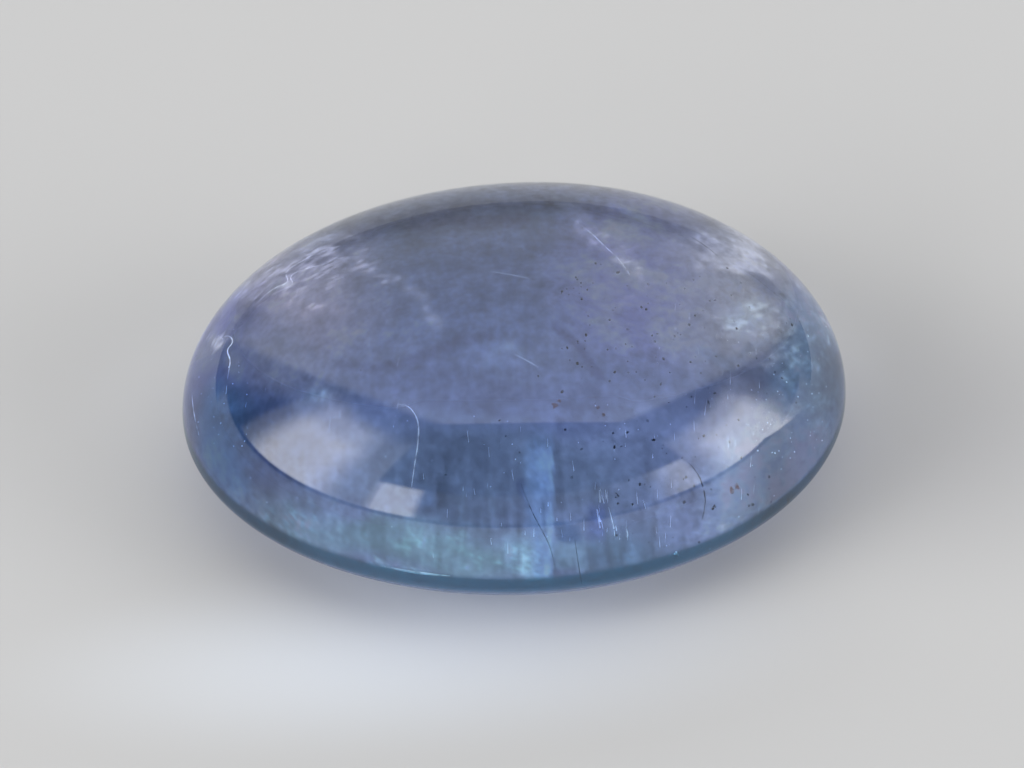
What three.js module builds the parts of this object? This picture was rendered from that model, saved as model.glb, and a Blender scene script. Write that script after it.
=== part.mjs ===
// An oval tanzanite cabochon: a high polished dome over a rounded girdle, and a shallow
// convex back that ends in the small flat spot the stone rests on.
// Millimetres, +Z up, the long axis along X, the origin at the bottom centre.
import * as THREE from "three";

// Driving dimensions
const LENGTH = 10.6;
const WIDTH = 7.9;
const DOME_HEIGHT = 2.94; // from the girdle up to the crown
const BACK_DEPTH = 1.19; // from the girdle down to the resting flat

// How full each part of the outline and of the profile is: 2 is a plain ellipse, more is squarer
const OUTLINE_POWER = 2.02;
const DOME_POWER = 2.0;
const BACK_POWER = 2.3;

// A hand-cut stone is never quite even: three broad swells round the girdle
const SWELL = 0.006; // share of the radius
const SWELLS = 3;
const SWELL_PHASE = 0.79; // radians from +X

// Facets of the model, and how many rings at the foot lie flat on the table
const AROUND = 80;
const RINGS = 40;
const FLAT_RINGS = 3;

// Looks
const BODY_COLOUR = 0x6672a6;
const BODY_ROUGHNESS = 0.08;

const halfLength = LENGTH / 2;
const halfWidth = WIDTH / 2;
const flatLatitude = -Math.PI / 2 + (FLAT_RINGS * Math.PI) / RINGS;
// The back is part of a slightly deeper curve, cut off at the resting flat
const backCurveDepth = BACK_DEPTH / Math.sin(-flatLatitude);

// Girdle radius in the direction of an angle about Z
function girdleRadius(angle) {
  const along = Math.abs(Math.cos(angle) / halfLength) ** OUTLINE_POWER;
  const across = Math.abs(Math.sin(angle) / halfWidth) ** OUTLINE_POWER;
  const swell = 1 + SWELL * Math.cos(SWELLS * (angle - SWELL_PHASE));
  return (along + across) ** (-1 / OUTLINE_POWER) * swell;
}

// Share of the girdle radius, and height over the girdle, at a latitude from the back to the crown
function profile(latitude) {
  const power = latitude < 0 ? BACK_POWER : DOME_POWER;
  const share = Math.max(Math.cos(latitude), 0) ** (2 / power);
  const height = latitude < 0
    ? Math.max(backCurveDepth * Math.sin(latitude), -BACK_DEPTH)
    : DOME_HEIGHT * Math.sin(latitude);
  return { share, height };
}

// A unit sphere with its poles on Z, each point moved to its place on the stone
function cabochonGeometry() {
  const geometry = new THREE.SphereGeometry(1, AROUND, RINGS);
  geometry.rotateX(Math.PI / 2);
  const points = geometry.getAttribute("position");
  for (let i = 0; i < points.count; i += 1) {
    const latitude = Math.asin(THREE.MathUtils.clamp(points.getZ(i), -1, 1));
    const angle = Math.atan2(points.getY(i), points.getX(i));
    const { share, height } = profile(latitude);
    const radius = share * girdleRadius(angle);
    points.setXYZ(i, radius * Math.cos(angle), radius * Math.sin(angle), height);
  }
  // The swells shift the outline a little, so it is centred again, and stood on Z = 0
  geometry.computeBoundingBox();
  const middle = geometry.boundingBox.getCenter(new THREE.Vector3());
  geometry.translate(-middle.x, -middle.y, -geometry.boundingBox.min.z);
  geometry.computeVertexNormals();
  return geometry;
}

const cabochon = new THREE.Mesh(
  cabochonGeometry(),
  new THREE.MeshStandardMaterial({
    color: BODY_COLOUR,
    roughness: BODY_ROUGHNESS,
    metalness: 0,
  }),
);
cabochon.name = "cabochon";

const stone = new THREE.Group();
stone.add(cabochon);

export default stone;
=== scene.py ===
# A polished oval tanzanite cabochon, resting on the small flat spot of its back on a pale table.
# The stone is one see-through solid with veils, needles, cracks and specks inside it.
# Everything is in metres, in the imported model's frame: +X the long axis, +Z up through the dome.
import math
import random
from collections import namedtuple

import bmesh
import bpy
import numpy as np
from mathutils import Euler, Matrix, Quaternion, Vector, noise


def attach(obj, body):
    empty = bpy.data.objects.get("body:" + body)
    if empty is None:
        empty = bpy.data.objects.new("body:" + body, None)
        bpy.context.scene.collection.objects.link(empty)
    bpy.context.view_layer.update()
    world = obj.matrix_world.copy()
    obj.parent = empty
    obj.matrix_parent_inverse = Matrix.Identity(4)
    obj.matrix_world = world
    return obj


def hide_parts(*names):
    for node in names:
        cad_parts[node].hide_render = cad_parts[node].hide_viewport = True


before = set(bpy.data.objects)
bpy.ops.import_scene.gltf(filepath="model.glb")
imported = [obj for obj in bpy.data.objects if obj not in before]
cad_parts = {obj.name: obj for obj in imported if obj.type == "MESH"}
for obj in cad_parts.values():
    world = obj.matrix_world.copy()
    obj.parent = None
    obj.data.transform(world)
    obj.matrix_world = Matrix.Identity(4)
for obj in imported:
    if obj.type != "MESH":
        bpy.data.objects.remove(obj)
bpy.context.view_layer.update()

MM = 0.001

# The stone, as in the part's source
LENGTH = 10.6 * MM
WIDTH = 7.9 * MM
DOME_HEIGHT = 2.94 * MM
BACK_DEPTH = 1.19 * MM
OUTLINE_POWER = 2.02
DOME_POWER = 2.0
BACK_POWER = 2.3
SWELL = 0.006
SWELLS = 3
SWELL_PHASE = 0.79
FLAT_SHARE = 3 / 40

# The camera of the photograph, and the middle of the girdle it is aimed near
CAMERA_AZIMUTH = -5.1
CAMERA_ELEVATION = 47.0
CAMERA_DISTANCE = 132.5 * MM
CAMERA_LENS = 292.0
AIM_RIGHT = -0.064 * MM
AIM_UP = 0.271 * MM

DOME_ROUGHNESS = 0.0
BASE_ROUGHNESS = 0.42

IMAGE_WIDTH = 1024
IMAGE_HEIGHT = 768
SENSOR = 36.0
PIXEL_SLOPE = SENSOR / CAMERA_LENS / IMAGE_WIDTH
PIXEL = CAMERA_DISTANCE * PIXEL_SLOPE
STONE_IOR = 1.69

FLOOR_GAP = 0.01 * MM
FLOOR_SIZE = 3.0


class Wire:
    """A socket's value, so that shader maths is written as arithmetic."""

    def __init__(self, graph, socket):
        self.graph = graph
        self.socket = socket

    def _math(self, operation, *values):
        return self.graph.node("ShaderNodeMath", {"operation": operation}, dict(enumerate(values)))

    def __add__(self, other):
        return self._math("ADD", self, other)

    def __radd__(self, other):
        return self._math("ADD", other, self)

    def __sub__(self, other):
        return self._math("SUBTRACT", self, other)

    def __rsub__(self, other):
        return self._math("SUBTRACT", other, self)

    def __mul__(self, other):
        return self._math("MULTIPLY", self, other)

    def __rmul__(self, other):
        return self._math("MULTIPLY", other, self)

    def __truediv__(self, other):
        return self._math("DIVIDE", self, other)

    def __pow__(self, other):
        return self._math("POWER", self, other)

    def __abs__(self):
        return self._math("ABSOLUTE", self)

    def least(self, other):
        return self._math("MINIMUM", self, other)

    def most(self, other):
        return self._math("MAXIMUM", self, other)


class Graph:
    """A node tree that is filled by plain calls."""

    def __init__(self, tree):
        self.tree = tree
        tree.nodes.clear()

    def node(self, kind, settings=None, inputs=None, output=0):
        made = self.tree.nodes.new(kind)
        for name, value in (settings or {}).items():
            if name == "stops":
                self._set_stops(made.color_ramp, value)
            else:
                setattr(made, name, value)
        for key, value in (inputs or {}).items():
            if isinstance(value, Wire):
                self.tree.links.new(value.socket, made.inputs[key])
            else:
                made.inputs[key].default_value = value
        return Wire(self, made.outputs[output]) if len(made.outputs) else made

    @staticmethod
    def _set_stops(ramp, stops):
        ramp.interpolation = "EASE"
        while len(ramp.elements) < len(stops):
            ramp.elements.new(1.0)
        for element, (position, colour) in zip(ramp.elements, stops):
            element.position = position
            element.color = (*colour, 1.0)

    def dot(self, vector, direction):
        return self.node("ShaderNodeVectorMath", {"operation": "DOT_PRODUCT"},
                         {0: vector, 1: tuple(direction)}, "Value")

    def step(self, value, low, high):
        """Rises smoothly from 0 at low to 1 at high."""
        return self.node("ShaderNodeMapRange", {"interpolation_type": "SMOOTHSTEP"},
                         {"Value": value, "From Min": low, "From Max": high})

    def band(self, value, low, high, soft):
        """One between low and high, and zero outside them."""
        return self.step(value, low - soft, low + soft) * self.step(value, high + soft, high - soft)

    def mix(self, share, first, second, blend="MIX"):
        return self.node("ShaderNodeMix", {"data_type": "RGBA", "blend_type": blend},
                         {0: share, 6: first, 7: second}, 2)

    def vector(self, operation, *values):
        return self.node("ShaderNodeVectorMath", {"operation": operation}, dict(enumerate(values)))

    def grey(self, value):
        return self.node("ShaderNodeCombineColor", None, {0: value, 1: value, 2: value})


def colour(red, green, blue):
    return (red, green, blue, 1.0)


def new_material(name):
    material = bpy.data.materials.new(name)
    material.use_nodes = True
    material.cycles.emission_sampling = "NONE"
    return material, Graph(material.node_tree)


# The stone's surface

def girdle_radius(angle):
    along = abs(math.cos(angle) / (LENGTH / 2)) ** OUTLINE_POWER
    across = abs(math.sin(angle) / (WIDTH / 2)) ** OUTLINE_POWER
    swell = 1 + SWELL * math.cos(SWELLS * (angle - SWELL_PHASE))
    return (along + across) ** (-1 / OUTLINE_POWER) * swell


def profile(latitude):
    power = BACK_POWER if latitude < 0 else DOME_POWER
    share = max(math.cos(latitude), 0.0) ** (2 / power)
    if latitude < 0:
        curve_depth = BACK_DEPTH / math.sin(math.pi / 2 - FLAT_SHARE * math.pi)
        return share, max(curve_depth * math.sin(latitude), -BACK_DEPTH)
    return share, DOME_HEIGHT * math.sin(latitude)


def stone_point(latitude, angle):
    share, height = profile(latitude)
    radius = share * girdle_radius(angle)
    return Vector((radius * math.cos(angle), radius * math.sin(angle), height + BACK_DEPTH))


def outline_middle():
    """How far the swells move the outline's middle from the girdle's centre."""
    ring = [stone_point(0.0, math.tau * step / 720) for step in range(720)]
    across = [point.x for point in ring]
    along = [point.y for point in ring]
    return Vector(((min(across) + max(across)) / 2, (min(along) + max(along)) / 2, 0.0))


MIDDLE = outline_middle()
GIRDLE_CENTRE = Vector((-MIDDLE.x, -MIDDLE.y, BACK_DEPTH))


def add_piece(name, bm, material, smooth=True):
    mesh = bpy.data.meshes.new(name)
    bm.to_mesh(mesh)
    bm.free()
    for face in mesh.polygons:
        face.use_smooth = smooth
    mesh.materials.append(material)
    piece = bpy.data.objects.new(name, mesh)
    bpy.context.scene.collection.objects.link(piece)
    return piece


def stone_form(name, share, around, rings, material):
    """The stone's own form, or a smaller copy of it round the middle of the girdle."""
    bm = bmesh.new()
    bmesh.ops.create_uvsphere(bm, u_segments=around, v_segments=rings, radius=1.0)
    bmesh.ops.subdivide_edges(bm, edges=bm.edges, cuts=1, use_grid_fill=True)
    for vertex in bm.verts:
        vertex.co.normalize()
        latitude = math.asin(max(-1.0, min(1.0, vertex.co.z)))
        angle = math.atan2(vertex.co.y, vertex.co.x)
        vertex.co = GIRDLE_CENTRE.lerp(stone_point(latitude, angle) - MIDDLE, share)
    return add_piece(name, bm, material)


def reach(point):
    """How far out a point lies: 0 at the girdle's centre, 1 on the surface, more outside it."""
    flat = point + MIDDLE
    angle = math.atan2(flat.y, flat.x)
    height = flat.z - BACK_DEPTH
    share = math.hypot(flat.x, flat.y) / girdle_radius(angle)
    if height >= 0:
        return math.hypot(share, height / DOME_HEIGHT)
    return (share ** BACK_POWER + (abs(height) / BACK_DEPTH) ** 2) ** 0.5


# The camera's own directions. Sideways and towards are level, as the camera sees them.
AZIMUTH = math.radians(CAMERA_AZIMUTH)
ELEVATION = math.radians(CAMERA_ELEVATION)
SIDEWAYS = Vector((math.cos(AZIMUTH), math.sin(AZIMUTH), 0.0))
TOWARDS = Vector((math.sin(AZIMUTH), -math.cos(AZIMUTH), 0.0))
UPWARDS = Vector((0.0, 0.0, 1.0))
BACK = TOWARDS * math.cos(ELEVATION) + UPWARDS * math.sin(ELEVATION)
PICTURE_UP = BACK.cross(SIDEWAYS)
AIM = GIRDLE_CENTRE + SIDEWAYS * AIM_RIGHT + PICTURE_UP * AIM_UP
EYE = AIM + BACK * CAMERA_DISTANCE


def make_camera():
    data = bpy.data.cameras.new("camera")
    data.lens = CAMERA_LENS
    data.clip_start = 0.005
    data.clip_end = 20.0
    camera = bpy.data.objects.new("camera", data)
    camera.location = EYE
    camera.rotation_euler = (-BACK).to_track_quat("-Z", "Y").to_euler()
    bpy.context.scene.collection.objects.link(camera)
    bpy.context.scene.camera = camera


def under(x, y, depth):
    """The point that shows at a pixel of the photograph, that deep in the stone along the bent line
    of sight, or None where the line of sight misses the stone."""
    offset = (SIDEWAYS * (x - IMAGE_WIDTH / 2) + PICTURE_UP * (IMAGE_HEIGHT / 2 - y)) * PIXEL_SLOPE
    ray = (offset - BACK).normalized()
    near, far = CAMERA_DISTANCE - LENGTH, CAMERA_DISTANCE
    steps = 60
    while steps and reach(EYE + ray * far) > 1:
        far -= LENGTH / 60
        steps -= 1
    if not steps:
        return None
    for _ in range(24):
        middle = (near + far) / 2
        if reach(EYE + ray * middle) > 1:
            near = middle
        else:
            far = middle
    hit = EYE + ray * far
    nudge = 0.01 * MM
    normal = Vector([reach(hit + step) - reach(hit - step) for step in (
        Vector((nudge, 0, 0)), Vector((0, nudge, 0)), Vector((0, 0, nudge)))]).normalized()
    facing = -ray.dot(normal)
    bend = 1 / STONE_IOR
    bent = ray * bend + normal * (bend * facing - math.sqrt(1 - bend * bend * (1 - facing * facing)))
    return hit + bent * depth


def random_inside(draw, fill=0.95):
    """A random point inside the stone, kept off its surface."""
    while True:
        point = Vector((draw.uniform(-0.5, 0.5) * LENGTH, draw.uniform(-0.5, 0.5) * WIDTH,
                        draw.uniform(0.0, BACK_DEPTH + DOME_HEIGHT)))
        if reach(point) < fill:
            return point


# Small things inside the stone

def small_shape(name, make, **settings):
    """A mesh about one unit across that is stretched and copied by scatter."""
    bm = bmesh.new()
    make(bm, **settings)
    mesh = bpy.data.meshes.new(name)
    bm.to_mesh(mesh)
    bm.free()
    return mesh


def scatter(name, shape, places, material):
    """One joined mesh with a copy of a small shape at each place, a 4x4 matrix."""
    corners = np.array([(*vertex.co, 1.0) for vertex in shape.vertices])
    faces = [tuple(face.vertices) for face in shape.polygons]
    turned = np.einsum("nij,vj->nvi", np.array(places), corners)[:, :, :3]
    size = len(corners)
    mesh = bpy.data.meshes.new(name)
    mesh.from_pydata(turned.reshape(-1, 3).tolist(), [], [
        tuple(number * size + corner for corner in face)
        for number in range(len(places)) for face in faces])
    mesh.materials.append(material)
    piece = bpy.data.objects.new(name, mesh)
    bpy.context.scene.collection.objects.link(piece)
    return piece


def random_under(draw, field, shallow, deep):
    """A random point that shows in a field's box of pixels."""
    while True:
        x = draw.uniform(field.left, field.right)
        y = draw.uniform(field.top, field.bottom)
        point = under(x, y, draw.uniform(shallow, deep))
        if point is not None:
            return point


def any_turn(draw):
    return Euler([draw.uniform(0, math.tau) for _ in range(3)])


def make_needles(name, fields, material, seed):
    """Slender crystals that lie along the picture's own upright, field by field."""
    draw = random.Random(seed)
    shape = small_shape("needle", bmesh.ops.create_cone, cap_ends=True, segments=4,
                        radius1=0.5, radius2=0.15, depth=1.0)
    places = []
    for field in fields.values():
        for _ in range(field.count):
            point = random_under(draw, field, 0.3 * MM, 1.1 * MM)
            along = PICTURE_UP + SIDEWAYS * (field.slant + draw.gauss(0, 0.08)) + BACK * draw.gauss(0, 0.15)
            tilt = along.to_track_quat("Z", "Y") @ Quaternion((0.0, 0.0, 1.0), draw.uniform(0, math.tau))
            thickness = field.thickness * draw.uniform(0.6, 1.3)
            size = Vector((thickness, thickness, field.length * draw.uniform(0.3, 1.5)))
            places.append(Matrix.LocRotScale(point, tilt, size))
    return scatter(name, shape, places, material)


def make_specks(name, fields, material, seed):
    """Grains and pinpoints, each a small uneven lump."""
    draw = random.Random(seed)
    shape = small_shape("grain", bmesh.ops.create_icosphere, subdivisions=1, radius=0.5)
    places = []
    for field in fields.values():
        for _ in range(field.count):
            point = random_under(draw, field, 0.1 * MM, 0.9 * MM)
            width = field.size * draw.uniform(0.5, 1.5)
            size = Vector((width, width * draw.uniform(0.5, 1.6), width * draw.uniform(0.4, 1.0)))
            places.append(Matrix.LocRotScale(point, any_turn(draw), size))
    return scatter(name, shape, places, material)


def make_threads(name, threads, material):
    """Cracks and wisps: fine closed tubes through the points that show at some pixels."""
    whole = bmesh.new()
    for thread in threads.values():
        curve = bpy.data.curves.new(name, "CURVE")
        curve.dimensions = "3D"
        curve.bevel_depth = thread.width / 2
        curve.bevel_resolution = 1
        curve.resolution_u = 6
        curve.use_fill_caps = True
        spline = curve.splines.new("NURBS")
        spline.points.add(len(thread.pixels) - 1)
        spline.order_u = 3
        spline.use_endpoint_u = True
        last = len(thread.pixels) - 1
        for step, (pixel, point) in enumerate(zip(thread.pixels, spline.points)):
            point.co = (*under(*pixel, thread.depth), 1.0)
            point.radius = 0.25 + 0.75 * math.sin(math.pi * step / last)
        line = bpy.data.objects.new(name, curve)
        bpy.context.scene.collection.objects.link(line)
        bpy.context.view_layer.update()
        tube = bpy.data.meshes.new_from_object(line.evaluated_get(bpy.context.evaluated_depsgraph_get()))
        whole.from_mesh(tube)
        bpy.data.objects.remove(line)
    return add_piece(name, whole, material)


# Colours that are worked out point by point and kept in the mesh

def smooth(values, low, high):
    """Rises smoothly from 0 at low to 1 at high, or falls where low is the larger."""
    share = np.clip((values - low) / (high - low), 0.0, 1.0)
    return share * share * (3 - 2 * share)


def mesh_points(piece):
    points = np.empty(len(piece.data.vertices) * 3, dtype=np.float32)
    piece.data.vertices.foreach_get("co", points)
    return points.reshape(-1, 3).astype(float)


def picture_plane(points):
    """Points in millimetres across the picture and up it."""
    return points @ np.array([SIDEWAYS, PICTURE_UP]).T / MM


def shown_at(pixel):
    """The same two measures for the point of the surface that shows at a pixel."""
    return picture_plane(np.array([under(*pixel, 0.0)]))[0]


def stirred(points, plane, scale, amount):
    """Places on the plane pushed about by a noise, so that what is drawn there isn't even."""
    push = np.array([noise.noise_vector(Vector(point) * scale)[:2] for point in points / MM])
    return plane + push * amount


def streakiness(points, stretch):
    """A noise between about -1 and 1 at each point, stretched along the picture's two directions."""
    plane = picture_plane(points) * stretch
    depth = points @ np.array(BACK) / MM
    return np.array([noise.fractal(Vector((x, y, z)), 0.7, 2.0, 4)
                     for (x, y), z in zip(plane, depth)])


def blob(plane, pixel, half_size, soft):
    """One round the place that shows at a pixel, falling softly to zero."""
    distance = np.hypot(*((plane - shown_at(pixel)) / half_size).T)
    return smooth(distance, 1 + soft, 1 - soft)


def stroke(plane, pixels, width):
    """One along a line through some pixels, falling softly to zero on both sides and at its ends."""
    knots = [shown_at(pixel) for pixel in pixels]
    nearest = np.full(len(plane), np.inf)
    for start, end in zip(knots, knots[1:]):
        line = end - start
        share = np.clip((plane - start) @ line / (line @ line), 0.0, 1.0)
        nearest = np.minimum(nearest, np.hypot(*(plane - start - share[:, None] * line).T))
    return smooth(nearest, width, width * 0.2)


def keep_colours(piece, name, colours):
    layer = piece.data.color_attributes.new(name, "FLOAT_COLOR", "POINT")
    layer.data.foreach_set("color", colours.astype(np.float32).ravel())


def keep_amount(piece, name, amount):
    layer = piece.data.attributes.new(name, "FLOAT", "POINT")
    layer.data.foreach_set("value", amount.astype(np.float32))


# How the stone's own colour lies in it. Each zone has the pixel that its middle shows at, its
# half sizes in millimetres across and up the picture, how soft its edge is, and its tint, the
# share of red, green and blue light that it lets through.
Zone = namedtuple("Zone", "pixel half_size soft tint")
Stroke = namedtuple("Stroke", "pixels width strength tint")

BODY_TINT = (0.59, 0.67, 0.81)
ZONES = {
    "grey_top": Zone((480, 222), (1.9, 0.55), 0.7, (0.40, 0.52, 0.66)),
    "blue_middle": Zone((470, 300), (0.9, 1.6), 0.8, (0.50, 0.61, 0.78)),
    "violet_patch": Zone((632, 285), (1.1, 1.2), 0.7, (0.82, 0.85, 1.22)),
    "grey_right": Zone((745, 295), (1.1, 1.1), 0.7, (0.96, 0.94, 0.88)),
    "mauve_left": Zone((292, 290), (1.1, 0.8), 0.7, (0.91, 0.88, 0.97)),
    "left_end": Zone((215, 355), (0.8, 0.9), 0.6, (0.72, 0.76, 1.05)),
    "right_end": Zone((815, 375), (0.6, 1.2), 0.6, (0.74, 0.94, 0.95)),
    "right_foot": Zone((775, 480), (0.8, 0.8), 0.6, (0.92, 1.12, 1.20)),
    "dark_middle": Zone((500, 388), (2.2, 0.5), 0.7, (0.42, 0.50, 0.67)),
    "dark_front": Zone((490, 468), (2.6, 0.75), 0.5, (0.37, 0.45, 0.50)),
    "dark_left": Zone((285, 435), (0.8, 0.55), 0.7, (0.30, 0.42, 0.64)),
    "left_shade": Zone((275, 370), (0.7, 0.4), 0.7, (0.84, 0.88, 0.98)),
    "blue_left_foot": Zone((222, 455), (0.6, 0.8), 0.6, (0.38, 0.70, 0.94)),
    "teal_left": Zone((285, 530), (0.8, 0.6), 0.6, (0.76, 0.98, 0.98)),
    "teal_front": Zone((425, 543), (1.8, 0.48), 0.5, (0.53, 0.73, 0.67)),
    "dark_foot": Zone((625, 548), (1.1, 0.6), 0.6, (0.34, 0.49, 0.55)),
}
SHADES = {
    "soft_line": Stroke([(340, 366), (372, 368), (405, 363), (435, 351), (462, 340), (490, 336)], 0.12, 0.35, (0.30, 0.33, 0.50)),
    "middle_crack": Stroke([(556, 326), (568, 338), (576, 345), (588, 360), (598, 376)], 0.11, 0.55, (0.30, 0.33, 0.50)),
    "front_crack": Stroke([(520, 482), (528, 505), (540, 528), (550, 545), (556, 572)], 0.09, 0.6, (0.22, 0.28, 0.40)),
    "grey_crack": Stroke([(700, 350), (730, 365), (765, 340), (790, 352)], 0.16, 0.35, (0.35, 0.50, 0.62)),
    "top_shade": Stroke([(415, 226), (450, 219), (490, 222), (525, 221)], 0.16, 0.55, (0.28, 0.33, 0.50)),
    "left_rim": Stroke([(219, 331), (237, 304), (262, 283)], 0.14, 0.4, (0.40, 0.40, 0.70)),
}

# Squarish growth blocks low in the front, in the same measures
CRISP_PATCHES = {
    "dark_block": Zone((568, 533), (0.19, 0.15), 0.3, (0.24, 0.38, 0.52)),
    "pale_block": Zone((570, 556), (0.26, 0.20), 0.4, (0.60, 0.84, 0.86)),
    "dark_block_left": Zone((596, 522), (0.12, 0.26), 0.5, (0.34, 0.44, 0.64)),
    "teal_block": Zone((518, 556), (0.20, 0.30), 0.6, (0.66, 0.90, 0.90)),
    "dark_step": Zone((420, 497), (0.20, 0.12), 0.5, (0.42, 0.55, 0.66)),
}

# The bright blue streak down the front: a growth plane with a sharp right side
STREAK_FOOT = (553, 560)
STREAK_TOP = (553, 420)
STREAK_WIDTH = 0.56

# The edge where the flat-ground base of the back meets its polished rim
BASE_HALF_LENGTH = 4.0 * MM
BASE_HALF_WIDTH = 2.55 * MM


def paint_stone(stone):
    """Keeps in the mesh how much red, green and blue each point lets through, and how dull the
    surface is there: 0 on the polished dome, 1 on the ground base."""
    points = mesh_points(stone)
    height = points[:, 2] / MM
    plane = picture_plane(points)
    wandering = stirred(points, stirred(points, plane, 0.6, 0.5), 3.0, 0.10)
    trembling = stirred(points, plane, 5.0, 0.05)
    tint = np.tile(BODY_TINT, (len(points), 1))

    def lay(share, new_tint):
        tint[:] += share[:, None] * (np.array(new_tint) - tint)

    for zone in ZONES.values():
        lay(blob(wandering, zone.pixel, zone.half_size, zone.soft), zone.tint)
    for shade in SHADES.values():
        lay(stroke(trembling, shade.pixels, shade.width) * shade.strength, shade.tint)

    right_side = shown_at(STREAK_FOOT)[0]
    top = shown_at(STREAK_TOP)[1]
    streak = (smooth(plane[:, 0], right_side - STREAK_WIDTH, right_side - STREAK_WIDTH / 3)
              * smooth(plane[:, 0], right_side + 0.03, right_side - 0.03)
              * smooth(plane[:, 1], top, top - 0.8))
    lay(streak * 0.9, (0.64, 0.90, 1.12))
    for patch in CRISP_PATCHES.values():
        distance = np.max(abs((trembling - shown_at(patch.pixel)) / patch.half_size), axis=1)
        lay(smooth(distance, 1 + patch.soft, 1 - patch.soft), patch.tint)

    low_front = smooth(plane[:, 1], 0.4, -0.6)
    clouds = streakiness(points, (1.1, 1.5))
    streaks = streakiness(points, (8.0, 0.8))
    blotches = streakiness(points, (3.6, 4.4))
    tint *= (1.0 + clouds * 0.28 + blotches * 0.12 + streaks * (0.06 + 0.20 * low_front))[:, None]

    # Painted shade: a dark teal band round the girdle stands for the dark rim line seen through the dome and the
    # shadowed table that the low rim faces.
    girdle = smooth(height, 1.45, 1.32) * smooth(height, 0.5, 0.9)
    lay(girdle * 0.97, (0.05, 0.26, 0.34))
    back = smooth(height, 1.1, 0.9)
    lay(back, (0.97, 0.98, 1.0))

    out = np.hypot(points[:, 0] / BASE_HALF_LENGTH, points[:, 1] / BASE_HALF_WIDTH)
    base_edge = smooth(out, 0.97, 0.995) * smooth(out, 1.05, 1.01) * back
    lay(base_edge * 0.6, (0.34, 0.38, 0.5))
    far_rim = smooth(points[:, 1] / MM, 1.0, 1.6)
    dullness = smooth(height, 1.1, 0.9) * (1 - far_rim * smooth(out, 0.99, 1.02))
    keep_colours(stone, "tint", np.column_stack([np.clip(tint, 0.0, 1.0), np.ones(len(tint))]))
    keep_amount(stone, "dullness", dullness)


def stone_material():
    material, graph = new_material("polished_tanzanite")
    tint = graph.node("ShaderNodeAttribute", {"attribute_name": "tint"}, output="Color")
    dullness = graph.node("ShaderNodeAttribute", {"attribute_name": "dullness"}, output="Fac")
    where = graph.node("ShaderNodeTexCoord", output="Object")
    mottle = graph.node("ShaderNodeTexNoise", None, {"Vector": where, "Scale": 7 / MM, "Detail": 1.0})
    shade = 0.72 + mottle * 0.58
    tint = graph.mix(1.0, tint, graph.grey(shade), "MULTIPLY")
    # light crosses the surface with the root of this colour, so the tint is squared
    surface = graph.node("ShaderNodeBsdfPrincipled", None, {
        "Base Color": graph.mix(1.0, tint, tint, "MULTIPLY"),
        "Roughness": DOME_ROUGHNESS + dullness * (BASE_ROUGHNESS - DOME_ROUGHNESS),
        "IOR": STONE_IOR,
        "Transmission Weight": 1.0,
    })
    body = graph.node("ShaderNodeVolumeAbsorption", None, {
        "Color": colour(0.42, 0.52, 0.90),
        "Density": 110.0,
    })
    graph.node("ShaderNodeOutputMaterial", None, {"Surface": surface, "Volume": body})
    return material


def inclusion_material(name, tint, opacity, glow):
    """A finish for what lies inside the stone. Light reaches it from all round through the clear
    body, which the glow stands for."""
    material, graph = new_material(name)
    where = graph.node("ShaderNodeTexCoord", output="Object")
    patches = graph.node("ShaderNodeTexNoise", None, {"Vector": where, "Scale": 9 / MM, "Detail": 0.0})
    surface = graph.node("ShaderNodeBsdfPrincipled", None, {
        "Base Color": colour(*tint),
        "Roughness": 0.5,
        "Alpha": graph.step(patches, 0.2, 0.6) * opacity,
        "Emission Color": colour(*tint),
        "Emission Strength": glow,
    })
    graph.node("ShaderNodeOutputMaterial", None, {"Surface": surface})
    return material


# Pale clouds on the veil, whose paleness is a painted glow: the pixel that each shows at, its half sizes in
# millimetres across and up the picture, how thick it is at most, how wispy it is, and how cool its colour is
Cloud = namedtuple("Cloud", "pixel half_size thickness wispy coolness")

Cloudy = namedtuple("Cloudy", "pixels width thickness coolness")

MILKY = (0.80, 0.80, 1.02)
TEAL = (0.50, 0.78, 1.05)
CLOUDS = {
    "lilac_middle": Cloud((628, 285), (0.9, 1.0), 0.12, 0.4, 0.0),
    "grey_right": Cloud((735, 310), (1.0, 0.9), 0.13, 0.4, 0.2),
    "mauve_left": Cloud((300, 305), (0.9, 0.7), 0.16, 0.3, 0.0),
    "swirls_left": Cloud((300, 272), (0.95, 0.45), 0.44, 0.8, 0.2),
    "patch_right": Cloud((728, 258), (0.75, 0.30), 0.52, 0.35, 0.2),
    "wisp_left": Cloud((392, 282), (0.35, 0.22), 0.14, 0.9, 0.0),
    "left_edge": Cloud((222, 350), (0.25, 0.45), 0.16, 0.9, 0.0),
    "left_shoulder": Cloud((270, 360), (0.5, 0.3), 0.10, 0.7, 0.3),
    "blue_spots": Cloud((328, 404), (0.38, 0.18), 0.45, 0.6, 0.8),
    "right_edge": Cloud((800, 378), (0.42, 1.0), 0.20, 0.6, 0.5),
    "right_cloud": Cloud((770, 335), (0.75, 0.55), 0.20, 0.7, 0.3),
    "right_spot": Cloud((747, 326), (0.22, 0.20), 0.30, 0.5, 0.6),
    "teal_front": Cloud((440, 545), (1.6, 0.36), 0.17, 0.6, 0.9),
    "blue_foot": Cloud((541, 565), (0.22, 0.45), 0.50, 0.4, 0.9),
    "blue_streak": Cloud((538, 470), (0.20, 0.60), 0.10, 0.5, 0.9),
    "right_foot": Cloud((705, 520), (0.9, 0.5), 0.20, 0.8, 0.4),
    "left_foot": Cloud((290, 520), (0.8, 0.4), 0.18, 0.9, 1.0),
}
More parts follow.
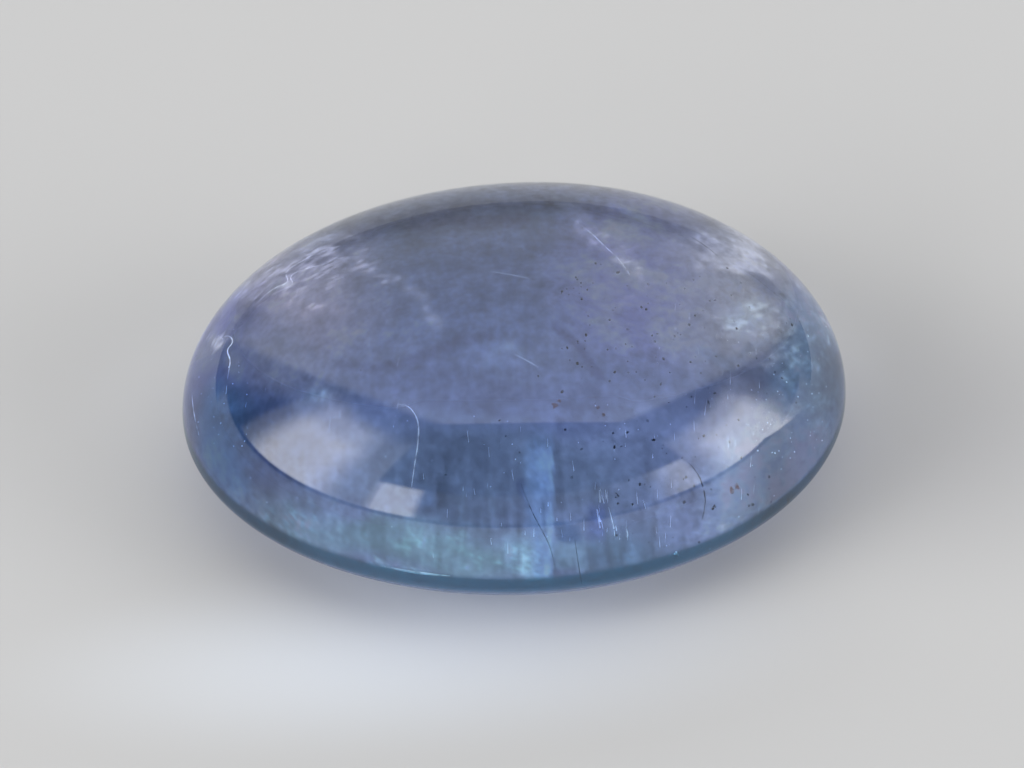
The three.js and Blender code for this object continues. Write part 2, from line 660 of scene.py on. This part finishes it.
WISPS = {
    "top_wisp": Cloudy([(568, 216), (588, 230), (604, 246), (622, 262), (630, 280)], 0.12, 0.36, 0.1),
    "second_wisp": Cloudy([(600, 236), (618, 252), (640, 284), (632, 306)], 0.14, 0.14, 0.1),
    "left_wisp": Cloudy([(366, 258), (374, 274), (388, 288), (410, 298), (436, 318)], 0.15, 0.36, 0.0),
    "swirl_outer": Cloudy([(252, 306), (268, 288), (292, 266), (322, 250), (352, 240)], 0.12, 0.46, 0.2),
    "swirl_inner": Cloudy([(262, 306), (286, 292), (300, 276), (330, 262)], 0.11, 0.40, 0.2),
    "mauve_band": Cloudy([(270, 316), (310, 308), (350, 310)], 0.20, 0.14, 0.0),
    "middle_wisp": Cloudy([(494, 362), (510, 352), (528, 360), (542, 368)], 0.12, 0.28, 0.6),
    "middle_spots": Cloudy([(488, 366), (504, 372)], 0.10, 0.18, 0.9),
    "left_knot": Cloudy([(222, 346), (230, 338), (236, 344), (228, 354)], 0.11, 0.40, 0.1),
    "patch_edge": Cloudy([(690, 250), (716, 262), (742, 270), (760, 274)], 0.14, 0.40, 0.2),
    "lower_arc": Cloudy([(262, 420), (292, 452), (330, 480), (372, 498)], 0.10, 0.12, 0.8),
    "foot_glow": Cloudy([(384, 566), (410, 572), (440, 575), (470, 572)], 0.09, 0.55, 0.9),
    "front_glow": Cloudy([(400, 545), (450, 538), (500, 545), (520, 540)], 0.22, 0.20, 1.0),
    "rim_left": Cloudy([(196, 360), (214, 322), (244, 288), (286, 254)], 0.10, 0.22, 0.0),
    "rim_right": Cloudy([(742, 246), (782, 276), (812, 312), (828, 350)], 0.10, 0.30, 0.2),
}


def paint_veil(veil):
    """Keeps in the mesh how thick the clouds are, which also sets how strong their painted glow is, and how cool their
    colour is.
    """
    points = mesh_points(veil)
    plane = picture_plane(points)
    swirling = stirred(points, stirred(points, plane, 0.9, 0.4), 3.5, 0.14)
    wisps = smooth(abs(streakiness(points, (2.4, 4.2))), 0.22, 0.0)
    fine_wisps = smooth(abs(streakiness(points, (3.5, 2.5))), 0.12, 0.0)
    low_front = smooth(plane[:, 1], 0.2, -0.8)
    streaks = smooth(streakiness(points, (7.0, 1.1)), 0.15, 0.8)
    thickness = fine_wisps * 0.06 + streaks * low_front * 0.12
    coolness = 0.3 + 0.6 * low_front

    def add(share, cloud, evenness):
        thickness[:] += share * cloud.thickness * (evenness + (1 - evenness) * wisps)
        coolness[:] += share * (cloud.coolness - coolness)

    for cloud in CLOUDS.values():
        add(blob(swirling, cloud.pixel, cloud.half_size, 0.8), cloud, 1 - cloud.wispy)
    for wisp in WISPS.values():
        add(stroke(swirling, wisp.pixels, wisp.width), wisp, 0.4)
    top_side = smooth(points[:, 2] / MM, 1.0, 1.3)
    keep_amount(veil, "thickness", np.clip(thickness, 0.0, 0.5) * top_side)
    keep_amount(veil, "coolness", coolness)


# How much the thinnest veil glows, and how much more a cloud does as it gets thicker
# The glow is painted light: the veil itself is black, and the glow stands for the tent's light that the clouds
# scatter.
VEIL_GLOW = 0.44
CLOUD_GLOW = 1.1


def veil_material():
    material, graph = new_material("pale_clouds")
    coolness = graph.node("ShaderNodeAttribute", {"attribute_name": "coolness"}, output="Fac")
    tint = graph.mix(coolness, colour(*MILKY), colour(*TEAL))
    thickness = graph.node("ShaderNodeAttribute", {"attribute_name": "thickness"}, output="Fac")
    where = graph.node("ShaderNodeTexCoord", output="Object")
    grain = graph.node("ShaderNodeTexNoise", None, {"Vector": where, "Scale": 9 / MM, "Detail": 1.0})
    # Painted light: the veil is black and shows only a glow, which stands for the tent's light scattered by the
    # clouds, brighter where they are thicker.
    surface = graph.node("ShaderNodeBsdfPrincipled", None, {
        "Base Color": colour(0.0, 0.0, 0.0),
        "Roughness": 1.0,
        "Specular IOR Level": 0.0,
        "Alpha": thickness * (0.6 + grain * 0.8),
        "Emission Color": graph.mix(1.0, tint, graph.grey(VEIL_GLOW + thickness * CLOUD_GLOW), "MULTIPLY"),
        "Emission Strength": 1.0,
    })
    graph.node("ShaderNodeOutputMaterial", None, {"Surface": surface})
    return material


# Fields of needles, grains and pinpoints, as boxes of pixels that they show in
NeedleField = namedtuple("NeedleField", "left top right bottom count length thickness slant")
SpeckField = namedtuple("SpeckField", "left top right bottom count size")

NEEDLES = {
    "bright_bundle": NeedleField(596, 482, 628, 540, 15, 0.22 * MM, 0.018 * MM, -0.20),
    "front": NeedleField(420, 430, 760, 560, 60, 0.12 * MM, 0.006 * MM, -0.05),
    "right": NeedleField(640, 300, 800, 430, 24, 0.16 * MM, 0.005 * MM, 0.1),
    "left": NeedleField(230, 330, 400, 440, 14, 0.18 * MM, 0.005 * MM, 0.1),
}
DARK_SPECKS = {
    "right_top": SpeckField(560, 262, 800, 380, 110, 0.034 * MM),
    "right_middle": SpeckField(560, 380, 800, 500, 60, 0.036 * MM),
    "right_foot": SpeckField(600, 480, 780, 545, 20, 0.042 * MM),
    "left": SpeckField(260, 300, 540, 480, 14, 0.026 * MM),
}
PINPOINTS = {
    "right_edge": SpeckField(745, 320, 832, 470, 70, 0.017 * MM),
    "right": SpeckField(560, 250, 780, 560, 70, 0.014 * MM),
    "left_edge": SpeckField(196, 320, 250, 450, 40, 0.015 * MM),
    "left": SpeckField(250, 240, 560, 560, 40, 0.012 * MM),
    "bright": SpeckField(672, 553, 678, 558, 3, 0.075 * MM),
}
RUSTY_SPECKS = {
    "foot": SpeckField(730, 484, 740, 491, 6, 0.075 * MM),
    "middle": SpeckField(554, 400, 564, 410, 4, 0.060 * MM),
    "right": SpeckField(596, 404, 604, 418, 3, 0.050 * MM),
    "edge": SpeckField(786, 494, 793, 500, 3, 0.060 * MM),
}

# Cracks and wisps, each as the pixels that it shows along
Thread = namedtuple("Thread", "pixels depth width")

PALE_THREADS = {
    "long_crack": Thread([(398, 404), (408, 405), (415, 414), (419, 424), (418, 445), (414, 468), (411, 492)],
                         0.25 * MM, 0.022 * MM),
    "left_squiggle": Thread([(220, 338), (229, 334), (234, 342), (226, 350), (231, 360), (228, 374), (226, 394)],
                            0.2 * MM, 0.022 * MM),
    "swirl_one": Thread([(258, 302), (272, 288), (290, 283), (284, 272), (300, 262), (318, 252), (340, 246)],
                        0.15 * MM, 0.014 * MM),
    "swirl_two": Thread([(268, 296), (296, 286), (288, 276), (306, 268), (330, 264), (352, 246)],
                        0.2 * MM, 0.012 * MM),
    "top_wisp": Thread([(572, 220), (588, 230), (604, 246), (622, 262), (630, 276)], 0.3 * MM, 0.012 * MM),
    "thin_line": Thread([(486, 271), (505, 273), (535, 280)], 0.3 * MM, 0.012 * MM),
    "short_line": Thread([(514, 354), (525, 359), (538, 367)], 0.3 * MM, 0.014 * MM),
    "foot_sliver": Thread([(382, 566), (405, 571), (428, 574), (450, 576)], 0.12 * MM, 0.05 * MM),
    "left_edge_line": Thread([(192, 395), (194, 415), (199, 435)], 0.12 * MM, 0.03 * MM),
}
DARK_THREADS = {
    "right_crack": Thread([(688, 462), (698, 472), (704, 490), (706, 504), (702, 520)], 0.15 * MM, 0.020 * MM),
    "veil_crack": Thread([(690, 236), (706, 246), (718, 256)], 0.10 * MM, 0.025 * MM),
    "foot_line": Thread([(575, 540), (578, 565), (582, 585)], 0.20 * MM, 0.020 * MM),
    "front_crack": Thread([(521, 484), (529, 506), (541, 529), (551, 547), (556, 570)], 0.25 * MM, 0.016 * MM),
}


# Soft patches on the table: the light that the stone gathers in front of it, and its wide shadow
TABLE_TINTS = [
    ((-2.0, -4.2), (7.4, 2.4), (0.86, 0.90, 0.96)),
    ((7.4, -0.3), (4.2, 4.4), (0.57, 0.57, 0.58)),
]


def floor_material():
    material, graph = new_material("pale_table")
    where = graph.node("ShaderNodeTexCoord", output="Object")
    base = colour(0.68, 0.68, 0.68)
    for (x, y), half_size, tint in TABLE_TINTS:
        offset = graph.vector("SUBTRACT", where, (x * MM, y * MM, 0.0))
        scaled = graph.vector("MULTIPLY", offset, (1 / half_size[0] / MM, 1 / half_size[1] / MM, 0.0))
        near = graph.step(graph.node("ShaderNodeVectorMath", {"operation": "LENGTH"}, {0: scaled}, "Value"), 1.0, 0.0)
        base = graph.mix(near, base, colour(*tint))
    surface = graph.node("ShaderNodeBsdfPrincipled", None, {
        "Base Color": base,
        "Roughness": 0.9,
        "Specular IOR Level": 0.0,
    })
    graph.node("ShaderNodeOutputMaterial", None, {"Surface": surface})
    return material


def make_floor():
    bm = bmesh.new()
    bmesh.ops.create_grid(bm, x_segments=1, y_segments=1, size=FLOOR_SIZE / 2)
    bmesh.ops.translate(bm, verts=bm.verts, vec=(0.0, 0.0, -FLOOR_GAP))
    floor = add_piece("table", bm, floor_material(), smooth=False)


# The lights, as a camera standing at the stone would see them. Azimuths are right of the camera and
# elevations above the table, in degrees. Each stop has a direction and how strong three lights are
# there, and a light's strength is the product of its two shares.
LEFT_LIGHTS_ROUND = [
    (-94, (0.0, 0.0, 0.0)), (-88, (1.0, 0.0, 0.0)), (-74, (1.0, 1.0, 0.0)), (-58, (1.0, 1.0, 0.0)),
    (-42, (1.0, 0.0, 0.0)), (-37, (1.0, 0.0, 0.0)), (-35, (0.0, 0.0, 0.5)), (-33.5, (0.0, 0.0, 1.0)),
    (-24, (0.0, 0.0, 1.0)), (-21, (0.0, 0.0, 0.07)), (37, (0.0, 0.0, 0.07)), (51, (0.0, 0.0, 0.75)),
    (53, (0.0, 0.0, 0.75)), (55, (0.0, 0.0, 0.0)),
]
LEFT_LIGHTS_UP = [
    (9.5, (0.0, 0.0, 0.0)), (11.5, (1.0, 1.0, 1.0)), (28, (1.0, 1.0, 1.0)), (31, (1.0, 1.0, 0.0)),
    (38, (1.0, 1.0, 0.0)), (47, (0.8, 0.5, 0.0)), (57, (0.0, 0.0, 0.0)),
]
LEFT_LIGHTS = (0.8, 3.4, 3.1)
RIGHT_LIGHTS_ROUND = [
    (-116, (0.0, 0.0, 0.0)), (-108, (0.0, 0.0, 1.0)), (53, (0.0, 0.0, 1.0)), (56, (1.0, 0.0, 1.0)),
    (70, (1.0, 1.0, 1.0)), (86, (1.0, 1.0, 1.0)), (97, (0.5, 0.0, 1.0)), (104, (0.0, 0.0, 1.0)),
    (108, (0.0, 0.0, 1.0)), (116, (0.0, 0.0, 0.0)),
]
RIGHT_LIGHTS_UP = [
    (7, (1.0, 1.0, 1.0)), (9, (1.0, 1.0, 0.0)), (29, (1.0, 1.0, 0.0)), (36, (0.8, 0.4, 0.0)),
    (44, (0.0, 0.0, 0.0)),
]
RIGHT_LIGHTS = (1.1, 3.0, 0.0)
LIP_LIGHT = (0.0, 0.0, 0.6)
WIDEST_AZIMUTH = 120.0
HIGHEST_ELEVATION = 60.0


def make_light_tent():
    """A white tent round the stone, open towards the camera, with a softbox on either side."""
    scene = bpy.context.scene
    scene.world = bpy.data.worlds.new("light_tent")
    scene.world.use_nodes = True
    scene.world.cycles.sampling_method = "MANUAL"
    scene.world.cycles.sample_map_resolution = 512
    graph = Graph(scene.world.node_tree)
    ray = graph.node("ShaderNodeTexCoord", output="Generated")
    sideways = graph.dot(ray, SIDEWAYS)
    towards = graph.dot(ray, TOWARDS)
    upwards = graph.dot(ray, UPWARDS)
    to_degrees = 180 / math.pi
    azimuth = graph.node("ShaderNodeMath", {"operation": "ARCTAN2"},
                         {0: sideways, 1: towards}) * to_degrees
    elevation = graph.node("ShaderNodeMath", {"operation": "ARCSINE"},
                           {0: upwards}) * to_degrees

    round_share = azimuth * (0.5 / WIDEST_AZIMUTH) + 0.5
    up_share = elevation * (1 / HIGHEST_ELEVATION)

    def lights(stops_round, stops_up):
        across = graph.node("ShaderNodeValToRGB", {"stops": [
            (0.5 + place / WIDEST_AZIMUTH / 2, strengths) for place, strengths in stops_round]},
            {"Fac": round_share})
        along = graph.node("ShaderNodeValToRGB", {"stops": [
            (place / HIGHEST_ELEVATION, strengths) for place, strengths in stops_up]},
            {"Fac": up_share})
        return graph.vector("MULTIPLY", across, along)

    corner = 0.05
    front = graph.step(towards - upwards * 0.385, 0.015, -0.015)
    left_corner = graph.step(towards - sideways - upwards * 0.66, corner, -corner)
    right_corner = graph.step(towards + sideways - upwards * 0.9, corner, -corner)
    low_roof = 0.45 + graph.step(elevation, 4, 26) * 0.55
    roof = front * left_corner * right_corner * low_roof

    left = graph.dot(lights(LEFT_LIGHTS_ROUND, LEFT_LIGHTS_UP), LEFT_LIGHTS)
    right = lights(RIGHT_LIGHTS_ROUND, RIGHT_LIGHTS_UP)
    right_foot = graph.step(elevation + (azimuth - 80).most(0) * 0.5, 9.5, 11.5)
    right_box = graph.dot(right, RIGHT_LIGHTS) * right_foot
    light = (roof * 0.85 + left + right_box + graph.dot(right, LIP_LIGHT)) * 1.08
    background = graph.node("ShaderNodeBackground", None, {
        "Color": colour(1.0, 1.0, 1.0), "Strength": light + 0.02})
    graph.node("ShaderNodeOutputWorld", None, {"Surface": background})


scene = bpy.context.scene
scene.view_settings.view_transform = "Standard"

make_camera()
make_light_tent()
make_floor()

stone = stone_form("tanzanite_cabochon", 1.0, 200, 90, stone_material())
paint_stone(stone)
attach(stone, "root")
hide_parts("cabochon")

veil = stone_form("pale_veil", 0.94, 160, 70, veil_material())
paint_veil(veil)
pale = inclusion_material("pale_inclusion", (0.80, 0.86, 1.00), 0.75, 0.6)
dark = inclusion_material("dark_inclusion", (0.06, 0.06, 0.10), 0.75, 0.0)
rusty = inclusion_material("rusty_inclusion", (0.40, 0.20, 0.20), 0.5, 0.1)
inside = [
    veil,
    make_needles("needles", NEEDLES, pale, 11),
    make_specks("dark_specks", DARK_SPECKS, dark, 12),
    make_specks("pinpoints", PINPOINTS, pale, 13),
    make_specks("rusty_specks", RUSTY_SPECKS, rusty, 14),
    make_threads("pale_threads", PALE_THREADS, pale),
    make_threads("dark_threads", DARK_THREADS, dark),
]
for piece in inside:
    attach(piece, "root")
